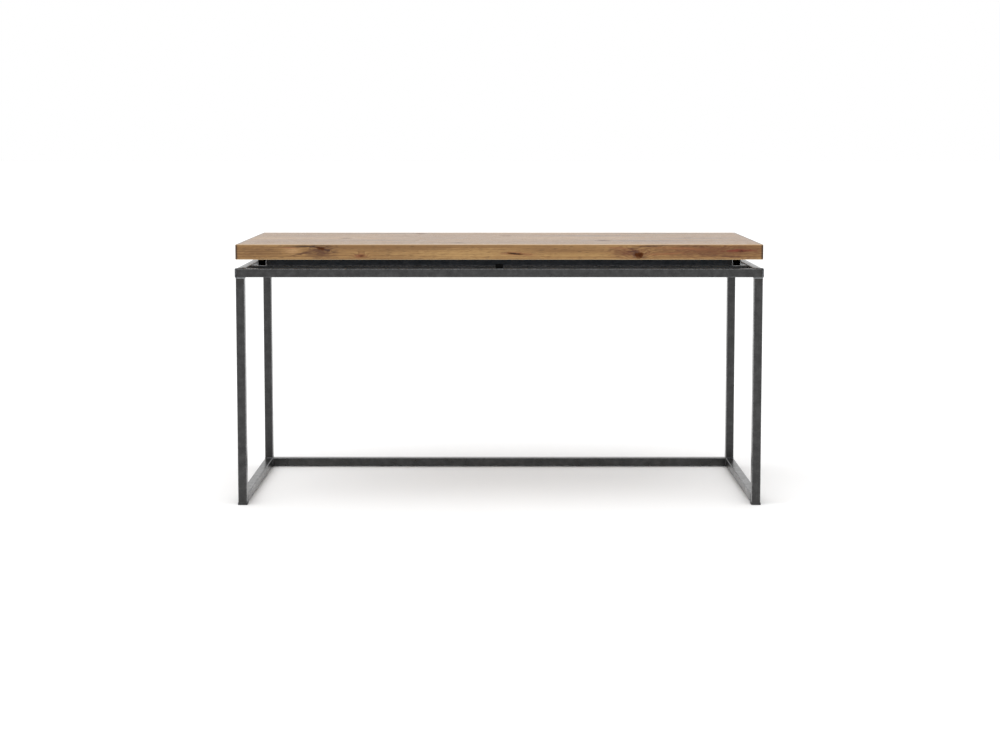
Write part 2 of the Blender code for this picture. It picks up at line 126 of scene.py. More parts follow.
def blackened_steel(node, along, tones=WAXED_TUBE, waxed=True, wear_highlight=0.6, open_end=False):
    """Blackened drawn tube. It gives the eye a soft sheen, mottling, and pale corners, partly wear
    and partly a painted highlight; an open end gets a painted highlight on its rim.
    """
    lo, hi = [Vector(c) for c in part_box(node)]
    half = (hi - lo) / 2
    material, tree = new_material(f"blackened_steel_{node}")
    coords = add_node(tree, "TexCoord", out="Object")
    place = add_node(tree, "Mapping", {"Vector": coords, "Location": -(lo + hi) / 2})
    blooms = add_node(tree, "TexNoise", {
        "Vector": coords, "Scale": 1 / PATINA_BLOOM, "Detail": 5, "Roughness": 0.62,
    })
    specks = add_node(tree, "TexNoise", {
        "Vector": coords, "Scale": 1 / PATINA_SPECK, "Detail": 3, "Roughness": 0.7,
    })
    stretch = [1 / DRAW_MARK_WIDTH] * 3
    stretch[along] = 1 / DRAW_MARK_LENGTH
    drawn = add_node(tree, "Mapping", {"Vector": place, "Scale": stretch})
    marks = add_node(tree, "TexNoise", {"Vector": drawn, "Scale": 1.0, "Detail": 3})

    # How near a point is to a long corner of the tube, and to an end
    axes = add_node(tree, "SeparateXYZ", (place,)).node.outputs
    reach = [add_node(tree, "Math", (axis,), operation="ABSOLUTE") for axis in axes]
    across = [axis for axis in range(3) if axis != along]
    nearest = add_node(tree, "Math", [reach[axis] for axis in across], operation="MINIMUM")
    edge = half[across[0]]
    end = half[along]
    # Pale corners: a band along each long corner is painted paler, partly as wear and partly as a
    # painted highlight
    rounded = (nearest, edge - WORN_HIGHLIT_CORNER, edge - WORN_HIGHLIT_CORNER / 4)
    corner = add_node(tree, "MapRange", rounded, **EASED)
    patchy = add_node(tree, "MapRange", (specks, 0.35, 0.65, wear_highlight / 6, wear_highlight), **EASED)
    worn_highlight = add_node(tree, "Math", (corner, patchy), operation="MULTIPLY")
    tinted = (reach[along], end - HEAT_TINT, end - HEAT_TINT_DEEPEST, 0.0, 0.45)
    heated = add_node(tree, "MapRange", tinted, **EASED)

    mottle = add_node(tree, "Math", (specks, 0.45, blooms), operation="MULTIPLY_ADD")
    body = add_node(tree, "ValToRGB", (mottle,), stops=list(zip((0.56, 0.72, 0.9), tones)))
    streak = add_node(tree, "MapRange", (marks, 0.3, 0.7, 0.0, 0.32), **EASED)
    body = add_node(tree, "Mix", {0: streak, 6: body, 7: tones[0]}, **LAID)
    body = add_node(tree, "Mix", {0: heated, 6: body, 7: STEEL_HEATED}, **LAID)
    body = add_node(tree, "Mix", {0: worn_highlight, 6: body, 7: STEEL_WORN_HIGHLIGHT}, **LAID)
    # Open ends: a thin pale band at each tube end, a painted highlight on its rim
    if open_end:
        rim_band = (reach[along], end - END_HIGHLIGHT_WIDTH, end - END_HIGHLIGHT_WIDTH * 3 / 8)
        end_face = add_node(tree, "MapRange", rim_band, **EASED)
        body = add_node(tree, "Mix", {0: end_face, 6: body, 7: STEEL_END_HIGHLIGHT}, **LAID)
    smoothest = 0.26 if waxed else 0.48
    rough = add_node(tree, "MapRange", (mottle, 0.5, 0.95, smoothest, smoothest + 0.14), **EASED)
    grain = add_node(tree, "Math", (marks, specks), operation="ADD")
    surface = add_node(tree, "BsdfPrincipled", {
        "Base Color": body,
        "Metallic": 1.0,
        "Roughness": rough,
        "Coat Weight": 0.5 if waxed else 0.0,
        "Coat Roughness": 0.24,
        "Normal": add_node(tree, "Bump", {"Strength": 0.2, "Distance": 0.0003, "Height": grain}),
    })
    add_node(tree, "OutputMaterial", {"Surface": surface})
    return material


def dress(node, material):
    """Gives a CAD node its finish."""
    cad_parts[node].material_slots[0].material = material


X, Y, Z = range(3)
CORNERS = {
    "front_left": (-1, -1),
    "front_right": (1, -1),
    "back_left": (-1, 1),
    "back_right": (1, 1),
}

for corner in CORNERS:
    dress(f"leg_{corner}", blackened_steel(f"leg_{corner}", Z))
for side, along in (("left", Y), ("right", Y), ("back", X)):
    dress(f"bottom_rail_{side}", blackened_steel(f"bottom_rail_{side}", along))

# ---------------------------------------------------------------------------------------------
# Welds of the base. Each joint is run with a thin bead all round, then dressed back with a flap
# disc until it stands about a millimetre proud, which leaves it smoother and paler than the tube.

WELD_PROUD = 0.0004
WELD_WIDTH = 0.0032
WELD_CROWN = 0.0006
WELD_SHELL = 0.0009
WELD_CORNER = 0.0024
WELD_STRAIGHT = 0.006
SHARP_ANGLE = math.radians(38)
WELD_RIPPLES_PER_METRE = 260
GRIND_MARK = 0.0016
GRIND_PATCH = 0.00714


def dressed_weld():
    """Ground weld metal, blackened with the tube. Brighter and smoother, with short disc marks."""
    material, tree = new_material("blackened_ground_weld")
    coords = add_node(tree, "TexCoord", out="Object")
    swirl = add_node(tree, "TexNoise", {
        "Vector": coords, "Scale": 1 / GRIND_MARK, "Detail": 2, "Distortion": 1.5,
    })
    patches = add_node(tree, "TexNoise", {"Vector": coords, "Scale": 1 / GRIND_PATCH, "Detail": 3})
    tones = [(0.35, "#3c3d3f"), (0.52, "#5b5c5e"), (0.7, "#7b7c7e")]
    surface = add_node(tree, "BsdfPrincipled", {
        "Base Color": add_node(tree, "ValToRGB", (patches,), stops=tones),
        "Metallic": 1.0,
        "Roughness": add_node(tree, "MapRange", (swirl, 0.3, 0.7, 0.26, 0.40), **EASED),
        "Normal": add_node(tree, "Bump", {"Strength": 0.4, "Distance": 0.0003, "Height": swirl}),
    })
    add_node(tree, "OutputMaterial", {"Surface": surface})
    return material


def new_piece(name, work, material, body):
    """A finished mesh as a named piece that rides on a body."""
    mesh = bpy.data.meshes.new(name)
    work.to_mesh(mesh)
    work.free()
    mesh.shade_smooth()
    mesh.set_sharp_from_angle(angle=SHARP_ANGLE)
    mesh.materials.append(material)
    piece = bpy.data.objects.new(name, mesh)
    bpy.context.scene.collection.objects.link(piece)
    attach(piece, body)
    return piece


def weld_collar(name, centre, normal, size, body, bold=1.0):
    """A bead all round a joint that faces along normal. Its section is size, wide and high."""
    work = bmesh.new()
    bmesh.ops.create_cube(work, size=1)
    caps = [face for face in work.faces if abs(face.normal.z) > 0.5]
    bmesh.ops.delete(work, geom=caps, context="FACES")
    width, height = [side + 2 * WELD_PROUD for side in size]
    length = WELD_WIDTH * bold
    bmesh.ops.scale(work, vec=(width, height, length), verts=work.verts)

    def lengthwise():
        """The edges that run from one side of the bead to the other."""
        return [e for e in work.edges if abs(e.verts[0].co.z - e.verts[1].co.z) > length / 2]

    bmesh.ops.bevel(
        work, geom=lengthwise(), offset=WELD_CORNER, segments=4, affect="EDGES", profile=0.5,
        material=-1,
    )
    bmesh.ops.subdivide_edges(work, edges=lengthwise(), cuts=3, use_grid_fill=True)
    around = [e for e in work.edges if e.calc_length() > WELD_STRAIGHT]
    bmesh.ops.subdivide_edges(work, edges=around, cuts=7, use_grid_fill=True)
    bmesh.ops.recalc_face_normals(work, faces=work.faces)
    work.normal_update()
    for vertex in work.verts:
        crown = math.cos(math.pi * vertex.co.z / length)
        spot = (Vector(centre) + vertex.co) * WELD_RIPPLES_PER_METRE
        uneven = 0.75 + 0.5 * noise.noise(spot)
        vertex.co += vertex.normal * WELD_CROWN * bold * crown * uneven
    bmesh.ops.solidify(work, geom=work.faces[:], thickness=WELD_SHELL)
    across = Vector((0, 0, 1)).cross(normal)
    if across.length < 0.5:
        across = Vector((1, 0, 0))
    up = Vector(normal).cross(across)
    turn = Matrix((across, up, normal)).transposed()
    bmesh.ops.rotate(work, cent=(0, 0, 0), matrix=turn, verts=work.verts)
    bmesh.ops.translate(work, vec=centre, verts=work.verts)
    return new_piece(name, work, WELD, body)


WELD = dressed_weld()
leg_lo, leg_hi = [Vector(c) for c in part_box("leg_front_right")]
rail_lo, rail_hi = [Vector(c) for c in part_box("bottom_rail_right")]
TUBE = leg_hi.x - leg_lo.x
leg_x = (leg_lo.x + leg_hi.x) / 2
leg_y = -(leg_lo.y + leg_hi.y) / 2
floor_rail_z = (rail_lo.z + rail_hi.z) / 2
MITRE = (TUBE * math.sqrt(2), TUBE)
SQUARE = (TUBE, TUBE)

for side, x in (("left", -1), ("right", 1)):
    weld_collar(f"weld_floor_rail_front_{side}", (x * leg_x, rail_lo.y, floor_rail_z),
                Vector((0, 1, 0)), SQUARE, "base")
    weld_collar(f"weld_floor_rail_back_{side}", (x * leg_x, leg_y, floor_rail_z),
                Vector((x, -1, 0)).normalized(), MITRE, "base")
    weld_collar(f"weld_back_leg_{side}", (x * leg_x, leg_y, rail_hi.z),
                Vector((0, 0, 1)), SQUARE, "base")

# ---------------------------------------------------------------------------------------------
# Feet. Injection moulded black nylon: a cup with a short skirt on each front leg, and a pad under
# each back corner. The mould is spark eroded, which leaves a fine pebble that dulls the plastic.

MOULD_PEBBLE = 0.0009
SCUFF = 0.0111


def moulded_nylon(name, dark, pale, roughness, shine=0.5):
    """Moulded nylon. It gives the eye a dull, even pebble, with broad scuffs on the high spots."""
    material, tree = new_material(name)
    coords = add_node(tree, "TexCoord", out="Object")
    pebble = add_node(tree, "TexVoronoi", {"Vector": coords, "Scale": 1 / MOULD_PEBBLE})
    scuffs = add_node(tree, "TexNoise", {"Vector": coords, "Scale": 1 / SCUFF, "Detail": 4})
    rough = (scuffs, 0.3, 0.7, roughness - 0.06, roughness + 0.08)
    surface = add_node(tree, "BsdfPrincipled", {
        "Base Color": add_node(tree, "ValToRGB", (scuffs,), stops=[(0.4, dark), (0.66, pale)]),
        "Roughness": add_node(tree, "MapRange", rough, **EASED),
        "IOR": 1.53,
        "Specular IOR Level": shine,
        "Normal": add_node(tree, "Bump", {"Strength": 0.3, "Distance": 0.0002, "Height": pebble}),
    })
    add_node(tree, "OutputMaterial", {"Surface": surface})
    return material


CUP_SKIRT = 0.0068
CUP_WALL = 0.0009
CUP_ROUND = 0.0007


def foot_cup(corner, place):
    """A square cup that the leg stands in, with a rounded skirt a little wider than the tube."""
    lo, hi = [Vector(c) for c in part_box(f"foot_{corner}")]
    work = bmesh.new()
    bmesh.ops.create_cube(work, size=1)
    bmesh.ops.scale(work, vec=(hi.x - lo.x, hi.y - lo.y, CUP_SKIRT), verts=work.verts)
    bmesh.ops.translate(work, vec=(*place, CUP_SKIRT / 2), verts=work.verts)
    bmesh.ops.bevel(
        work, geom=work.edges[:], offset=CUP_ROUND, segments=3, affect="EDGES", profile=0.5,
        material=-1,
    )
    top = max(work.faces, key=lambda face: face.calc_center_median().z)
    bmesh.ops.inset_individual(work, faces=[top], thickness=CUP_WALL - CUP_ROUND / 2)
    extruded = bmesh.ops.extrude_discrete_faces(work, faces=[top])["faces"][0]
    for vertex in extruded.verts:
        vertex.co.z = leg_lo.z
    cup = new_piece(f"foot_cup_{corner}", work, black_nylon, "base")
    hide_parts(f"foot_{corner}")


black_nylon = moulded_nylon("black_moulded_nylon", "#0f0f10", "#242526", 0.5)
for corner, (x, y) in CORNERS.items():
    if y < 0:
        foot_cup(corner, (x * leg_x, y * leg_y))
    else:
        dress(f"foot_{corner}", black_nylon)

# ---------------------------------------------------------------------------------------------
# Guides and posts. Grey nylon bushes press into the legs, and grey nylon shoes clip on the posts'
# lower ends. The posts are zinc plated square tube, faintly streaked by the grease they run in.

PLATING_CLOUD = 0.006
RUBBED_LINE = 0.0018
RUBBED_LENGTH = 0.108


def zinc_plate(name):
    """Bright zinc plate. It gives the eye a cool, soft mirror with faint cloud and rub lines."""
    material, tree = new_material(name)
    coords = add_node(tree, "TexCoord", out="Object")
    cloud = add_node(tree, "TexNoise", {"Vector": coords, "Scale": 1 / PLATING_CLOUD, "Detail": 4})
    stretch = (1 / RUBBED_LINE, 1 / RUBBED_LINE, 1 / RUBBED_LENGTH)
    rubbed = add_node(tree, "Mapping", {"Vector": coords, "Scale": stretch})
    lines = add_node(tree, "TexNoise", {"Vector": rubbed, "Scale": 1.0, "Detail": 3})
    tones = [(0.3, "#8b8f92"), (0.55, "#989b9e"), (0.75, "#a5a8aa")]
    body = add_node(tree, "ValToRGB", (cloud,), stops=tones)
    dulled = add_node(tree, "MapRange", (lines, 0.5, 0.75, 0.0, 0.3), **EASED)
    surface = add_node(tree, "BsdfPrincipled", {
        "Base Color": add_node(tree, "Mix", {0: dulled, 6: body, 7: "#6f7274"}, **LAID),
        "Metallic": 1.0,
        "Roughness": add_node(tree, "MapRange", (cloud, 0.3, 0.75, 0.22, 0.36), **EASED),
        "Normal": add_node(tree, "Bump", {"Strength": 0.15, "Distance": 0.0002, "Height": lines}),
    })
    add_node(tree, "OutputMaterial", {"Surface": surface})
    return material


grey_nylon = moulded_nylon("grey_moulded_nylon", "#6f7173", "#868889", 0.46)
plated_steel = zinc_plate("zinc_plated_steel")
for corner in CORNERS:
    dress(f"guide_bush_{corner}", grey_nylon)
    dress(f"post_shoe_{corner}", grey_nylon)
    dress(f"inner_post_{corner}", plated_steel)

# ---------------------------------------------------------------------------------------------
# Gas springs. Each has a drawn steel cylinder, stoved in black enamel, on a plated standoff, and a
# rod that is ground and hard chromed, which shines, with a trace of oil on it. A plated release
# pin sits in each front rod.

ORANGE_PEEL = 0.0024
ENAMEL_DUST = 0.00455
GRINDING_HOOP = (0.05, 0.05, 0.00111)
OIL_FILM = 0.00833


def stoved_enamel(name):
    """Stoved enamel on steel. It gives the eye a deep gloss black with a slight orange peel."""
    material, tree = new_material(name)
    coords = add_node(tree, "TexCoord", out="Object")
    peel = add_node(tree, "TexNoise", {"Vector": coords, "Scale": 1 / ORANGE_PEEL})
    dust = add_node(tree, "TexNoise", {"Vector": coords, "Scale": 1 / ENAMEL_DUST, "Detail": 4})
    tones = [(0.5, "#131415"), (0.75, "#2b2d2e")]
    surface = add_node(tree, "BsdfPrincipled", {
        "Base Color": add_node(tree, "ValToRGB", (dust,), stops=tones),
        "Roughness": add_node(tree, "MapRange", (dust, 0.4, 0.7, 0.24, 0.42), **EASED),
        "Coat Weight": 0.4,
        "Coat Roughness": 0.12,
        "Normal": add_node(tree, "Bump", {"Strength": 0.12, "Distance": 0.0002, "Height": peel}),
    })
    add_node(tree, "OutputMaterial", {"Surface": surface})
    return material


def hard_chrome(name):
    """Ground hard chrome. It gives the eye a near mirror, with fine hoops from the grinding."""
    material, tree = new_material(name)
    coords = add_node(tree, "TexCoord", out="Object")
    stretch = [1 / size for size in GRINDING_HOOP]
    hoops = add_node(tree, "Mapping", {"Vector": coords, "Scale": stretch})
    rings = add_node(tree, "TexNoise", {"Vector": hoops, "Scale": 1.0, "Detail": 2})
    oil = add_node(tree, "TexNoise", {"Vector": coords, "Scale": 1 / OIL_FILM, "Detail": 3})
    tones = [(0.35, "#c6c8ca"), (0.6, "#dfe1e2")]
    surface = add_node(tree, "BsdfPrincipled", {
        "Base Color": add_node(tree, "ValToRGB", (oil,), stops=tones),
        "Metallic": 1.0,
        "Roughness": add_node(tree, "MapRange", (oil, 0.3, 0.7, 0.08, 0.18), **EASED),
        "Normal": add_node(tree, "Bump", {"Strength": 0.08, "Distance": 0.0001, "Height": rings}),
    })
    add_node(tree, "OutputMaterial", {"Surface": surface})
    return material


black_enamel = stoved_enamel("stoved_black_enamel")
chrome = hard_chrome("ground_hard_chrome")
for corner in CORNERS:
    dress(f"spring_cylinder_{corner}", black_enamel)
    dress(f"spring_standoff_{corner}", plated_steel)
    dress(f"spring_rod_{corner}", chrome)
for side in ("left", "right"):
    dress(f"release_pin_{side}", plated_steel)

# ---------------------------------------------------------------------------------------------
# Ring. Four rails of the same tube, mitred and welded into a flat rectangle. Its corners are the
# most handled part of the frame, and their welds are dressed to a soft, rounded corner.

CORNER_WELD_BOLDNESS = 2.2

ring_lo, ring_hi = [Vector(c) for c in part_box("ring_rail_right")]
ring_z = (ring_lo.z + ring_hi.z) / 2
for side, along in (("front", X), ("back", X), ("left", Y), ("right", Y)):
    dress(f"ring_rail_{side}", blackened_steel(f"ring_rail_{side}", along))
for corner, (x, y) in CORNERS.items():
    weld_collar(f"weld_ring_{corner}", (x * leg_x, y * leg_y, ring_z),
                Vector((x, -y, 0)).normalized(), MITRE, "lift", CORNER_WELD_BOLDNESS)

# ---------------------------------------------------------------------------------------------
# Carrier bars and spacer frame. Two bars weld across the ring, and a smaller frame tacks down on
# them. Neither is handled or waxed: the frame is a flat, bluish black, darkened partly as painted
# shade under the top, and the bars a flat grey, paler partly as painted light.

# The frame's darker, bluish tones are partly painted shade; the bars' paler grey is partly painted
# light
UNWAXED_SPACER_PAINTED_SHADE = ("#24272a", "#303337", "#3d3f42")
UNWAXED_BAR_PAINTED_LIGHT = ("#313334", "#404244", "#4c4e50")
TACK_RIPPLE = 0.0022
TACK_PITCH = 0.0014
TACK_RIPPLES = 6
TACK_FALL = 0.05
TACK_FLATNESS = 0.8
TACK_SPACING = 0.28
TACK_INSET = 0.006

for side in ("front", "back"):
    # Full pale corner bands on the bars, and strong ones on the frame's front and back rails: a
    # painted highlight
    bar = f"carrier_bar_{side}"
    dress(bar, blackened_steel(bar, X, UNWAXED_BAR_PAINTED_LIGHT, waxed=False, wear_highlight=1.0))
    rail = f"spacer_rail_{side}"
    dress(rail, blackened_steel(rail, X, UNWAXED_SPACER_PAINTED_SHADE, waxed=False, wear_highlight=0.9))
for side in ("left", "right"):
    rail = f"spacer_rail_{side}"
    dress(rail, blackened_steel(rail, Y, UNWAXED_SPACER_PAINTED_SHADE, waxed=False, open_end=True))
dress("spacer_brace", blackened_steel("spacer_brace", Y, UNWAXED_SPACER_PAINTED_SHADE, waxed=False))


def tack_weld(name, start, along):
    """A short tack: a row of overlapping ripples, each a little lower than the one before."""
    work = bmesh.new()
    for ripple in range(TACK_RIPPLES):
        made = bmesh.ops.create_uvsphere(work, u_segments=12, v_segments=8, radius=TACK_RIPPLE)
        size = 1 - TACK_FALL * ripple
        bmesh.ops.scale(work, vec=(size, size, TACK_FLATNESS * size), verts=made["verts"])
        place = Vector(start) + Vector(along) * TACK_PITCH * ripple
        bmesh.ops.translate(work, vec=place, verts=made["verts"])
    return new_piece(name, work, WELD, "lift")


bar_lo, bar_hi = [Vector(c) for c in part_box("carrier_bar_front")]
spacer_lo, spacer_hi = [Vector(c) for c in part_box("spacer_rail_front")]
side_lo, side_hi = [Vector(c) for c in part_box("spacer_rail_right")]
bar_y = (bar_lo.y + bar_hi.y) / 2
for end, y in (("front", 1), ("back", -1)):
    for side, x in (("left", -1), ("right", 1)):
        weld_collar(f"weld_carrier_{end}_{side}", (x * bar_hi.x, y * bar_y, ring_z),
                    Vector((x, 0, 0)), SQUARE, "lift")
        corner = (x * spacer_hi.x, y * spacer_lo.y, side_lo.z + TACK_RIPPLE)
        tack_weld(f"tack_spacer_upright_{end}_{side}", corner, (0, 0, 1))
        outer = (x * side_hi.x, y * (side_lo.y + TACK_INSET), side_lo.z)
        tack_weld(f"tack_spacer_outer_{end}_{side}", outer, (0, y, 0))
for end, y in (("front", 1), ("back", -1)):
    for spot in range(-2, 3):
        place = (spot * TACK_SPACING, y * spacer_lo.y, side_lo.z)
        tack_weld(f"tack_spacer_rail_{end}_{spot + 3}", place, (1, 0, 0))

# ---------------------------------------------------------------------------------------------
# Top. Five staves of rustic white oak, edge glued, planed and oiled: knots and short drying checks
# are left in, the arrises are eased by hand, and the joints show as hairlines.

STAVES = 5
EASED_ARRIS = 0.0019
JOINT_ARRIS = 0.0003
PLANED_WAVE = 0.00018
# Rings are 2 to 4 mm apart. Pores are 0.3 mm across, and are drawn coarser, so that they show.
RING_SPACING = 0.0042
PORE_WIDTH = 0.0011
PORE_LENGTH = 0.022
FIBRE_WIDTH = 0.0014
FIBRE_LENGTH = 0.16
RING_LENGTHENING = 0.06
# Broad changes of tone within a stave, and the curl of the figure, along, across and up
TONE_PATCH = (0.3846, 0.04167, 0.04167)
CURL = (0.03846, 0.0125, 0.007692)
KNOT_RAGGEDNESS = 0.00909
RINGS_SWELL_AT_KNOT = 16.0
# A wave texture of scale 1 has its rings this far apart
WAVE_RING = math.tau / 20
END_BAND_DEPTH = 0.008
GLUE_LINE = 0.0011
OAK_DARK = "#5c391c"
OAK_EARLY = "#7d5830"
OAK_BODY = "#947043"
OAK_LATE = "#a98756"
OAK_PORE = "#3d260f"
OAK_KNOT = "#472208"
OAK_HEART = "#2a1004"
OAK_RUBBED_HIGHLIGHT = "#c9ab80"
OAK_END = "#281407"

top_lo, top_hi = [Vector(c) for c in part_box("desktop")]
top_mid = (top_lo + top_hi) / 2
stave_width = (top_hi.y - top_lo.y) / STAVES


def knot(x, y, z, radius, reach, dark):
    """A knot: its place, its radius, how many radii it reaches along the grain, and its tone."""
    return {"place": (x, y, z), "radius": radius, "reach": reach, "dark": dark}


def oak(name, pith, knots, patches, cast, joints, check=None):
    """Oiled white oak. It gives the eye wandering rings, short dark pores and a satin surface."""
    material, tree = new_material(name)
    coords = add_node(tree, "TexCoord", out="Object")
    axes = add_node(tree, "SeparateXYZ", (coords,)).node.outputs

    def spread(place, radii, tilt=0.0):
        """How far a point is from a feature, in the feature's own radii."""
        local = add_node(tree, "Mapping", {
            "Vector": coords, "Location": place, "Rotation": (0, tilt, 0), "Scale": radii,
        }, vector_type="TEXTURE")
        return add_node(tree, "VectorMath", (local,), operation="LENGTH", out="Value")

    def ragged(away, roughness, amount):
        """A distance with a torn edge."""
        return add_node(tree, "Math", (roughness, amount, away), operation="MULTIPLY_ADD")

    # Knots: the rings swell round them, and their cores and hearts are darker
    wobble = add_node(tree, "TexNoise", {
        "Vector": coords, "Scale": 1 / KNOT_RAGGEDNESS, "Detail": 3,
    })
    swell = 0.0
    cores = []
    for one in knots:
        radius = one["radius"]
        away = spread(one["place"], (radius * one["reach"], radius * 2.2, radius))
        torn = ragged(away, wobble, 1.9)
        lift = add_node(tree, "MapRange", (away, 0.0, 3.4, RINGS_SWELL_AT_KNOT, 0.0), **EASED)
        swell = add_node(tree, "Math", (lift, swell), operation="ADD")
        core = add_node(tree, "MapRange", (torn, 1.4, 2.1, one["dark"], 0.0), **EASED)
        heart = add_node(tree, "MapRange", (torn, 1.0, 1.5, 0.75, 0.0), **EASED)
        cores.append((core, heart))

    # Rings round the pith, fibres, pores, and broad changes of tone
    grain = add_node(tree, "Mapping", {
        "Vector": coords,
        "Location": (pith[0], -pith[1], -pith[2]),
        "Scale": (RING_LENGTHENING, 1, 1),
    })
    rings = add_node(tree, "TexWave", {
        "Vector": grain,
        "Scale": WAVE_RING / RING_SPACING,
        "Distortion": 12.0,
        "Detail": 3.0,
        "Detail Scale": 0.22,
        "Detail Roughness": 0.6,
        "Phase Offset": swell,
    }, wave_type="RINGS", rings_direction="X", wave_profile="SAW", out="Fac")
    fine = add_node(tree, "Mapping", {
        "Vector": coords, "Scale": (1 / FIBRE_LENGTH, 1 / FIBRE_WIDTH, 1 / FIBRE_WIDTH),
    })
    fibres = add_node(tree, "TexNoise", {
        "Vector": fine, "Scale": 1.0, "Detail": 4, "Roughness": 0.65,
    })
    dashes = add_node(tree, "Mapping", {
        "Vector": coords, "Scale": (1 / PORE_LENGTH, 1 / PORE_WIDTH, 1 / PORE_WIDTH),
    })
    pores = add_node(tree, "TexNoise", {"Vector": dashes, "Scale": 1.0, "Detail": 2})
    open_pores = add_node(tree, "MapRange", (pores, 0.56, 0.68, 0.0, 0.62), **EASED)
    broad = add_node(tree, "Mapping", {
        "Vector": coords, "Location": pith, "Scale": [1 / size for size in TONE_PATCH],
    })
    tones = add_node(tree, "TexNoise", {"Vector": broad, "Scale": 1.0, "Detail": 3})
    curled = add_node(tree, "Mapping", {"Vector": coords, "Scale": [1 / size for size in CURL]})
    figure = add_node(tree, "TexNoise", {
        "Vector": curled, "Scale": 1.0, "Detail": 5, "Distortion": 2.4,
    })

    body = add_node(tree, "ValToRGB", (rings,), stops=[
        (0.0, OAK_DARK), (0.14, OAK_EARLY), (0.4, OAK_BODY), (0.9, OAK_LATE), (1.0, OAK_BODY),
    ])
    fibrous = add_node(tree, "MapRange", (fibres, 0.3, 0.72, 0.0, 0.6), **EASED)
    body = add_node(tree, "Mix", {0: fibrous, 6: body, 7: OAK_EARLY}, **LAID)
    shaded = add_node(tree, "MapRange", (tones, 0.44, 0.68, 0.0, 0.6), **EASED)
    body = add_node(tree, "Mix", {0: shaded, 6: body, 7: OAK_DARK}, **LAID)
    body = add_node(tree, "Mix", {0: 0.3, 6: body, 7: cast}, **LAID)
    for patch in patches:
        torn = ragged(spread(patch["place"], patch["radii"], patch["tilt"]), figure, 1.8)
        laid = add_node(tree, "MapRange", (torn, 0.9, 2.0, patch["depth"], 0.0), **EASED)
        body = add_node(tree, "Mix", {0: laid, 6: body, 7: patch["tone"]}, **LAID)
    body = add_node(tree, "Mix", {0: open_pores, 6: body, 7: OAK_PORE}, **LAID)
    # Oil sinks into the end grain of a knot, which leaves it dull
    dull = 0.0
    for core, heart in cores:
        dull = add_node(tree, "Math", (core, dull), operation="MAXIMUM")
        body = add_node(tree, "Mix", {0: core, 6: body, 7: OAK_KNOT}, **LAID)
        body = add_node(tree, "Mix", {0: heart, 6: body, 7: OAK_HEART}, **LAID)
    if check:
        torn = ragged(spread(check["place"], check["radii"], check["tilt"]), wobble, 1.5)
        split = add_node(tree, "MapRange", (torn, 1.1, 1.9, 0.95, 0.0), **EASED)
        body = add_node(tree, "Mix", {0: split, 6: body, 7: OAK_HEART}, **LAID)

    # Ends: every face is darker within about 8 mm of each end, and the sawn face shows rings
    along = add_node(tree, "Math", (axes[X],), operation="ABSOLUTE")
    end = top_hi.x
    band = (along, end - END_BAND_DEPTH, end - END_BAND_DEPTH / 2.5, 0.0, 0.9)
    end_darkening = add_node(tree, "MapRange", band, **EASED)
    body = add_node(tree, "Mix", {0: end_darkening, 6: body, 7: OAK_END}, **LAID)
    end_tones = [(0.0, "#4a2c14"), (0.22, "#7b5830"), (1.0, "#8d6a3f")]
    end_rings = add_node(tree, "ValToRGB", (rings,), stops=end_tones)
    band = (along, end - EASED_ARRIS * 0.7, end - EASED_ARRIS * 0.2, 0.0, 0.95)
    end_face = add_node(tree, "MapRange", band, **EASED)
    body = add_node(tree, "Mix", {0: end_face, 6: body, 7: end_rings}, **LAID)

    # Long arrises, painted pale, partly as rubbed wear and partly as a painted highlight on the
    # eased edges, the lower ones too; and the glue lines beside the neighbouring staves
    out = add_node(tree, "Math", (axes[Y],), operation="ABSOLUTE")
    up = add_node(tree, "Math", (axes[Z], top_mid.z), operation="SUBTRACT")
    up = add_node(tree, "Math", (up,), operation="ABSOLUTE")
    near = []
    for part, edge in ((out, top_hi.y), (up, top_hi.z - top_mid.z)):
        band = (part, edge - EASED_ARRIS * 1.3, edge - EASED_ARRIS * 0.4)
        near.append(add_node(tree, "MapRange", band, **EASED))
    arris = add_node(tree, "Math", near, operation="MULTIPLY")
    rubbed = add_node(tree, "Math", (arris, 0.75), operation="MULTIPLY")
    body = add_node(tree, "Mix", {0: rubbed, 6: body, 7: OAK_RUBBED_HIGHLIGHT}, **LAID)
    for joint in joints:
        beside = add_node(tree, "Math", (axes[Y], joint), operation="SUBTRACT")
        beside = add_node(tree, "Math", (beside,), operation="ABSOLUTE")
        glue = add_node(tree, "MapRange", (beside, GLUE_LINE / 2, GLUE_LINE, 0.8, 0.0), **EASED)
        body = add_node(tree, "Mix", {0: glue, 6: body, 7: OAK_PORE}, **LAID)

    polish = add_node(tree, "MapRange", (figure, 0.35, 0.7, 0.34, 0.6), **EASED)
    relief = add_node(tree, "Math", (fibres, open_pores), operation="SUBTRACT")
    surface = add_node(tree, "BsdfPrincipled", {
        "Base Color": body,
        "Roughness": add_node(tree, "Math", (open_pores, 0.2, polish), operation="MULTIPLY_ADD"),
        "IOR": 1.5,
        "Specular IOR Level": add_node(tree, "MapRange", (dull, 0.0, 0.9, 0.25, 0.06), **EASED),
        "Coat Weight": add_node(tree, "MapRange", (dull, 0.0, 0.9, 0.2, 0.0), **EASED),
        "Coat Roughness": 0.3,
        "Sheen Weight": add_node(tree, "MapRange", (dull, 0.0, 0.9, 0.2, 0.04), **EASED),
        "Sheen Roughness": 0.4,
        "Normal": add_node(tree, "Bump", {"Strength": 0.4, "Distance": 0.0004, "Height": relief}),
    })
    add_node(tree, "OutputMaterial", {"Surface": surface})
    return material


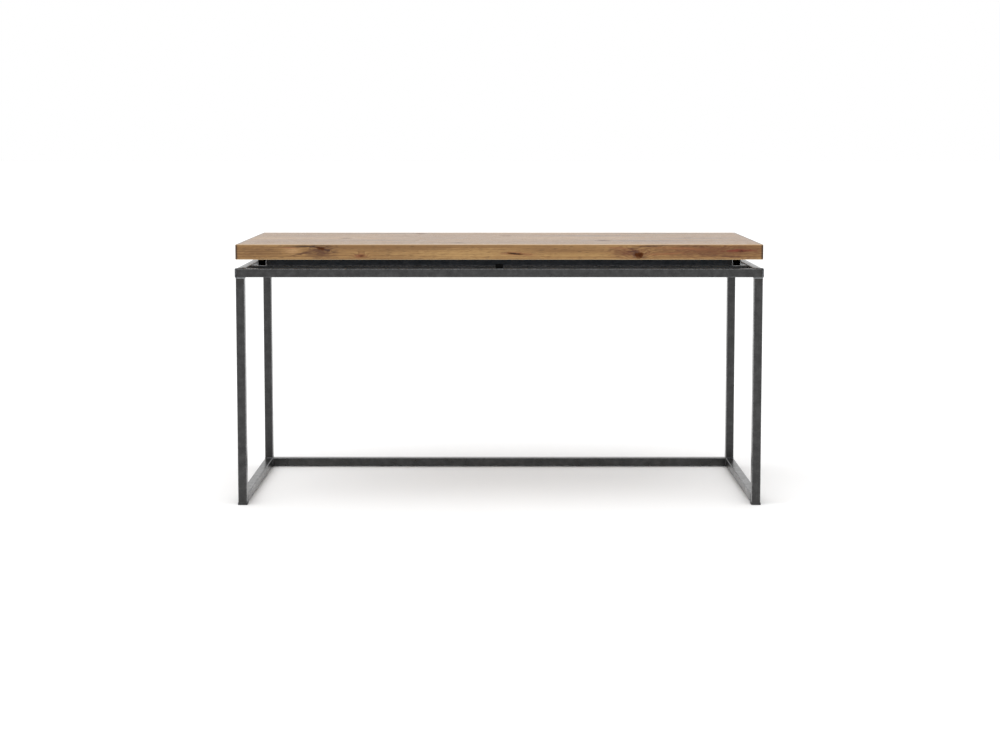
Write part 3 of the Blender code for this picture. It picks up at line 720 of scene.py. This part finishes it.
def cut_across(work, place, normal, close=False):
    """Cuts the mesh by a plane. With close, what is beyond it goes and the cut is closed."""
    everything = work.verts[:] + work.edges[:] + work.faces[:]
    cut = bmesh.ops.bisect_plane(
        work, geom=everything, plane_co=place, plane_no=normal, clear_outer=close
    )
    if close:
        rim = [part for part in cut["geom_cut"] if isinstance(part, bmesh.types.BMEdge)]
        bmesh.ops.holes_fill(work, edges=rim)
        rim = [edge for edge in rim if edge.is_valid]
        bmesh.ops.bevel(
            work, geom=rim, offset=JOINT_ARRIS, segments=1, affect="EDGES", profile=0.5, material=-1
        )


CHECK_CUTS = 14
CHECK_SKIN = 0.001


def drying_check(work, check):
    """Opens a short split in the front edge: a V groove that is deepest at its middle."""
    place, radii, tilt = Vector(check["place"]), check["radii"], check["tilt"]
    slope = Vector((math.sin(tilt), 0, math.cos(tilt)))
    for step in range(-CHECK_CUTS - 1, CHECK_CUTS + 2):
        cut_across(work, place + Vector((radii[0] * step / CHECK_CUTS, 0, 0)), (1, 0, 0))
    for offset in (-radii[2], 0, radii[2]):
        cut_across(work, place + slope * offset, slope)
    for vertex in work.verts:
        away = vertex.co - place
        along = abs(away.x) / radii[0]
        in_line = along < 1 and abs(away.dot(slope)) < radii[2] / 4
        if in_line and vertex.co.y < top_lo.y + CHECK_SKIN:
            vertex.co.y += check["depth"] * (1 - along ** 2)


CUTS_ALONG = 96
CUTS_ACROSS = 8
CUTS_UP = 4
# Waves of the plane in a metre, along, across and up
WAVES = (5, 16, 16)


def stave_mesh(index, check=None):
    """One stave, cut out of the whole top, with a plane's slight waves in its faces."""
    work = bmesh.new()
    bmesh.ops.create_cube(work, size=1)
    bmesh.ops.scale(work, vec=top_hi - top_lo, verts=work.verts)
    bmesh.ops.translate(work, vec=top_mid, verts=work.verts)
    bmesh.ops.bevel(
        work, geom=work.edges[:], offset=EASED_ARRIS, segments=4, affect="EDGES", profile=0.5,
        material=-1,
    )
    front = top_lo.y + stave_width * index
    back = front + stave_width
    if index > 0:
        cut_across(work, (0, front, 0), (0, -1, 0), close=True)
    if index < STAVES - 1:
        cut_across(work, (0, back, 0), (0, 1, 0), close=True)
    size = top_hi - top_lo
    for step in range(1, CUTS_ALONG):
        cut_across(work, (top_lo.x + size.x * step / CUTS_ALONG, 0, 0), (1, 0, 0))
    for step in range(1, CUTS_ACROSS):
        cut_across(work, (0, front + stave_width * step / CUTS_ACROSS, 0), (0, 1, 0))
    for step in range(1, CUTS_UP):
        cut_across(work, (0, 0, top_lo.z + size.z * step / CUTS_UP), (0, 0, 1))
    work.normal_update()
    for vertex in work.verts:
        spot = vertex.co * Vector(WAVES) + Vector((0, index, 0))
        vertex.co -= vertex.normal * PLANED_WAVE * (0.5 + 0.5 * noise.noise(spot))
    if check:
        drying_check(work, check)
    bmesh.ops.remove_doubles(work, verts=work.verts, dist=1e-6)
    return work


FLAME_REACH_IN = 0.045
TOP_FLAME_REACH_DOWN = 0.03


def flame(x, z, length, height, tone, depth, tilt=0):
    """A flame of figure in the front edge, as round a knot. Tilt is in degrees."""
    place = (x, top_lo.y, z)
    radii = (length, FLAME_REACH_IN, height)
    return {
        "place": place, "radii": radii, "tone": tone, "depth": depth, "tilt": math.radians(tilt),
    }


edge_y = top_lo.y
front_flames = [
    flame(-0.70, 0.741, 0.12, 0.03, "#5b3a1b", 0.6),
    flame(-0.10, 0.734, 0.34, 0.020, "#b8955f", 0.4),
    flame(0.23, 0.732, 0.16, 0.012, "#ad8a54", 0.4),
    flame(0.20, 0.744, 0.18, 0.013, "#6a4623", 0.5),
    flame(0.60, 0.744, 0.26, 0.030, "#5d3316", 0.88),
    flame(-0.516, 0.741, 0.058, 0.029, "#4c2a13", 0.92),
    flame(-0.598, 0.745, 0.034, 0.012, "#b08a60", 0.6),
    flame(-0.605, 0.7525, 0.032, 0.0040, "#87492a", 0.5),
    flame(-0.557, 0.7565, 0.090, 0.0050, "#341c0b", 0.95),
    flame(-0.565, 0.737, 0.055, 0.0045, "#4a2812", 0.9, -14),
    flame(-0.500, 0.747, 0.045, 0.0040, "#381b09", 0.9, 16),
    flame(-0.40, 0.729, 0.026, 0.009, "#6f371a", 0.9),
    flame(0.052, 0.7345, 0.060, 0.0065, "#6e381b", 0.85, 3),
    flame(0.375, 0.738, 0.075, 0.020, "#5c3015", 0.85),
    flame(0.400, 0.733, 0.035, 0.016, "#3c1c0a", 0.9, 24),
    flame(0.440, 0.7575, 0.055, 0.0045, "#3f1e0b", 0.9, -3),
    flame(0.345, 0.751, 0.045, 0.0045, "#7c452a", 0.5, 8),
    flame(0.530, 0.750, 0.10, 0.0055, "#925a34", 0.45, 2),
    flame(0.480, 0.735, 0.09, 0.0045, "#8c5530", 0.4, -3),
    flame(0.560, 0.7575, 0.10, 0.0030, "#48240e", 0.7, 1),
    flame(0.640, 0.729, 0.12, 0.0040, "#4a2410", 0.6, 3),
    flame(0.695, 0.744, 0.060, 0.0050, "#6c240d", 0.95),
]
front_check = {
    "place": (0.046, edge_y, 0.7350),
    "radii": (0.030, 0.006, 0.0024),
    "tilt": math.radians(5),
    "depth": 0.0045,
}
stave_knots = [
    [
        knot(-0.517, edge_y, 0.751, 0.0065, 2.4, 0.8),
        knot(-0.398, edge_y, 0.729, 0.0045, 2.0, 0.4),
        knot(0.402, edge_y, 0.731, 0.0090, 1.8, 0.95),
        knot(0.700, edge_y, 0.743, 0.0040, 4.5, 0.35),
        knot(-0.12, edge_y + 0.075, top_hi.z, 0.012, 2.0, 0.45),
    ],
    [knot(0.31, edge_y + 0.19, top_hi.z, 0.014, 1.8, 0.5)],
    [
        knot(-0.47, edge_y + 0.30, top_hi.z, 0.011, 2.2, 0.5),
        knot(0.58, edge_y + 0.33, top_hi.z, 0.007, 2.0, 0.5),
    ],
    [knot(0.02, edge_y + 0.43, top_hi.z, 0.009, 2.4, 0.5)],
    [knot(-0.25, edge_y + 0.54, top_hi.z, 0.013, 1.9, 0.5)],
]


def top_flame(x, index, length, width, tone, depth):
    """A darker run of heartwood in a stave's upper face."""
    place = (x, top_lo.y + stave_width * (index + 0.5), top_hi.z)
    radii = (length, width, TOP_FLAME_REACH_DOWN)
    return {"place": place, "radii": radii, "tone": tone, "depth": depth, "tilt": 0}


# Dark runs of heartwood in the upper faces; those on the right half are longer and darker, partly
# as painted shade that makes the top darker towards the right
stave_flames = [
    front_flames,
    [
        top_flame(0.45, 1, 0.34, 0.045, "#4a2e16", 0.75),
        top_flame(-0.35, 1, 0.20, 0.03, "#5b3f20", 0.65),
    ],
    [
        top_flame(-0.15, 2, 0.26, 0.035, "#52351a", 0.65),
        top_flame(0.60, 2, 0.24, 0.05, "#482b13", 0.75),
    ],
    [
        top_flame(0.35, 3, 0.36, 0.035, "#4b2f17", 0.75),
        top_flame(-0.60, 3, 0.14, 0.03, "#5b3c1e", 0.65),
    ],
    [
        top_flame(-0.40, 4, 0.30, 0.035, "#4d3117", 0.75),
        top_flame(0.50, 4, 0.32, 0.05, "#482b13", 0.75),
    ],
]
stave_casts = ["#86653b", "#7c5b36", "#a07c4c", "#86633c", "#946f42"]
# Where the pith of the log lay under each stave: how far along, beside its middle, and below
PITH_ALONG = 0.37
PITH_BESIDE = 0.3 * stave_width
PITH_BELOW = 0.05
PITH_DEEPER = 0.012
for index, knots in enumerate(stave_knots):
    sway = (-1) ** index
    pith = (
        PITH_ALONG * index,
        edge_y + stave_width * (index + 0.5) + PITH_BESIDE * sway,
        top_lo.z - PITH_BELOW - PITH_DEEPER * index,
    )
    check = front_check if index == 0 else None
    joints = [edge_y + stave_width * side for side in (index, index + 1) if 0 < side < STAVES]
    material = oak(
        f"oiled_white_oak_{index + 1}", pith, knots, stave_flames[index], stave_casts[index],
        joints, check,
    )
    mesh = stave_mesh(index, check)
    stave = new_piece(f"oak_stave_{index + 1}", mesh, material, "lift")
    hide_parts("desktop")

# ---------------------------------------------------------------------------------------------
# Top screws. Plated wood screws, driven up through the spacer frame's side rails into the top.

for corner in CORNERS:
    dress(f"top_screw_{corner}", plated_steel)

# ---------------------------------------------------------------------------------------------
# Release. A moulded nylon paddle on a plated shaft, which turns in two nylon bearings inside the
# front rail and carries a cam over each front spring. The paddle has ribs for the fingertip.

BLADE_THICK = 0.004
BLADE_ROUND = 0.0012
BLADE_FOOT = 0.0006
PADDLE_RIBS = 4
RIB_HEIGHT = 0.0006
RIB_WIDTH = 0.001
RIB_ROUND = 0.0003
RIB_PITCH = 0.0028
TOP_RIB_DROP = 0.0025
RIB_END_INSET = 0.002
HUB_CLEARANCE = 0.0003
HUB_STEPS = 32

for node in ("release_shaft", "release_cam_left", "release_cam_right"):
    dress(node, plated_steel)
for node in ("shaft_bearing_left", "shaft_bearing_right"):
    dress(node, black_nylon)

paddle_lo, paddle_hi = [Vector(c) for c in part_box("release_paddle")]
shaft_lo, shaft_hi = [Vector(c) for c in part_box("release_shaft")]
shaft_mid = (shaft_lo + shaft_hi) / 2
shaft_radius = (shaft_hi.z - shaft_lo.z) / 2
hub_radius = shaft_mid.z - paddle_lo.z
# The paddle's nylon is a near-black copy of the black nylon: its darker colour is painted shade, as
# the paddle sits under the top
shaded_matt_nylon = moulded_nylon("matt_black_nylon_painted_shade", "#030303", "#0a0a0a", 0.8, shine=0.1)


def rounded_block(work, lo, hi, radius):
    """A block with all its edges rounded, added to the mesh."""
    made = bmesh.ops.create_cube(work, size=1)["verts"]
    bmesh.ops.scale(work, vec=hi - lo, verts=made)
    bmesh.ops.translate(work, vec=(lo + hi) / 2, verts=made)
    edges = list({edge for vertex in made for edge in vertex.link_edges})
    bmesh.ops.bevel(
        work, geom=edges, offset=radius, segments=4, affect="EDGES", profile=0.5, material=-1
    )


work = bmesh.new()
blade_foot = shaft_mid.z + shaft_radius + BLADE_FOOT
blade_lo = Vector((paddle_lo.x, shaft_mid.y - BLADE_THICK / 2, blade_foot))
blade_hi = Vector((paddle_hi.x, shaft_mid.y + BLADE_THICK / 2, paddle_hi.z))
rounded_block(work, blade_lo, blade_hi, BLADE_ROUND)
for rib in range(PADDLE_RIBS):
    rib_z = paddle_hi.z - TOP_RIB_DROP - rib * RIB_PITCH
    spread = Vector((-RIB_END_INSET, RIB_HEIGHT, RIB_WIDTH / 2))
    rib_lo = Vector((paddle_lo.x, blade_lo.y, rib_z)) - spread
    rib_hi = Vector((paddle_hi.x, blade_lo.y, rib_z)) + spread
    rounded_block(work, rib_lo, rib_hi, RIB_ROUND)
rim = []
for reach, radius in ((paddle_lo.x, 0), (paddle_hi.x, 0), (paddle_hi.x, 1), (paddle_lo.x, 1)):
    height = hub_radius if radius else shaft_radius + HUB_CLEARANCE
    rim.append(work.verts.new((reach, shaft_mid.y, shaft_mid.z + height)))
loop = [work.edges.new((rim[i], rim[(i + 1) % 4])) for i in range(4)]
bmesh.ops.spin(
    work, geom=rim + loop, cent=shaft_mid, axis=(1, 0, 0), angle=math.tau, steps=HUB_STEPS,
    use_merge=True,
)
bmesh.ops.remove_doubles(work, verts=work.verts, dist=1e-6)
bmesh.ops.recalc_face_normals(work, faces=work.faces)
paddle = new_piece("paddle_ribbed", work, shaded_matt_nylon, "release")
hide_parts("release_paddle")

# ---------------------------------------------------------------------------------------------
# Studio. A plain, pale floor that runs out to a white surround, under one broad soft light.

FLOOR_REACH = 60
FLOOR_CLOUD = 0.667
CAMERA_BACK = 4.992
CAMERA_HEIGHT = 1.0816
CAMERA_PITCH = math.radians(4.67)
LENS = 62.45
SIDE_SHIFT = 0.0007
LOWER_SHIFT = -0.10
SKYLIGHT_STRENGTH = 1.5
SKYLIGHT_SPREAD = math.radians(75)
SKYLIGHT_TILT = (math.radians(22), math.radians(-12), 0)

work = bmesh.new()
bmesh.ops.create_grid(work, x_segments=1, y_segments=1, size=FLOOR_REACH)
floor_mesh = bpy.data.meshes.new("studio_floor")
work.to_mesh(floor_mesh)
work.free()
floor = bpy.data.objects.new("studio_floor", floor_mesh)
bpy.context.scene.collection.objects.link(floor)
floor_paint, floor_tree = new_material("white_studio_floor")
floor_coords = add_node(floor_tree, "TexCoord", out="Object")
floor_cloud = add_node(floor_tree, "TexNoise", {"Vector": floor_coords, "Scale": 1 / FLOOR_CLOUD})
floor_tones = [(0.3, "#ededed"), (0.7, "#f0f0f0")]
floor_surface = add_node(floor_tree, "BsdfPrincipled", {
    "Base Color": add_node(floor_tree, "ValToRGB", (floor_cloud,), stops=floor_tones),
    "Roughness": 0.9,
    "Specular IOR Level": 0.1,
})
add_node(floor_tree, "OutputMaterial", {"Surface": floor_surface})
floor_mesh.materials.append(floor_paint)

world = bpy.data.worlds.new("white_surround")
world.use_nodes = True
world.node_tree.nodes["Background"].inputs["Color"].default_value = (1, 1, 1, 1)
world.node_tree.nodes["Background"].inputs["Strength"].default_value = 1.0
bpy.context.scene.world = world

skylight = bpy.data.lights.new("skylight", "SUN")
skylight.energy = SKYLIGHT_STRENGTH
skylight.angle = SKYLIGHT_SPREAD
skylight_object = bpy.data.objects.new("skylight", skylight)
skylight_object.rotation_euler = SKYLIGHT_TILT
bpy.context.scene.collection.objects.link(skylight_object)

camera = bpy.data.cameras.new("camera")
camera.sensor_width = 36
camera.lens = LENS
camera.shift_x = SIDE_SHIFT
camera.shift_y = LOWER_SHIFT
camera_object = bpy.data.objects.new("camera", camera)
camera_object.location = (0, cad_box[0].y - CAMERA_BACK, CAMERA_HEIGHT)
camera_object.rotation_euler = (math.radians(90) - CAMERA_PITCH, 0, 0)
bpy.context.scene.collection.objects.link(camera_object)
bpy.context.scene.camera = camera_object
bpy.context.scene.view_settings.view_transform = "Standard"
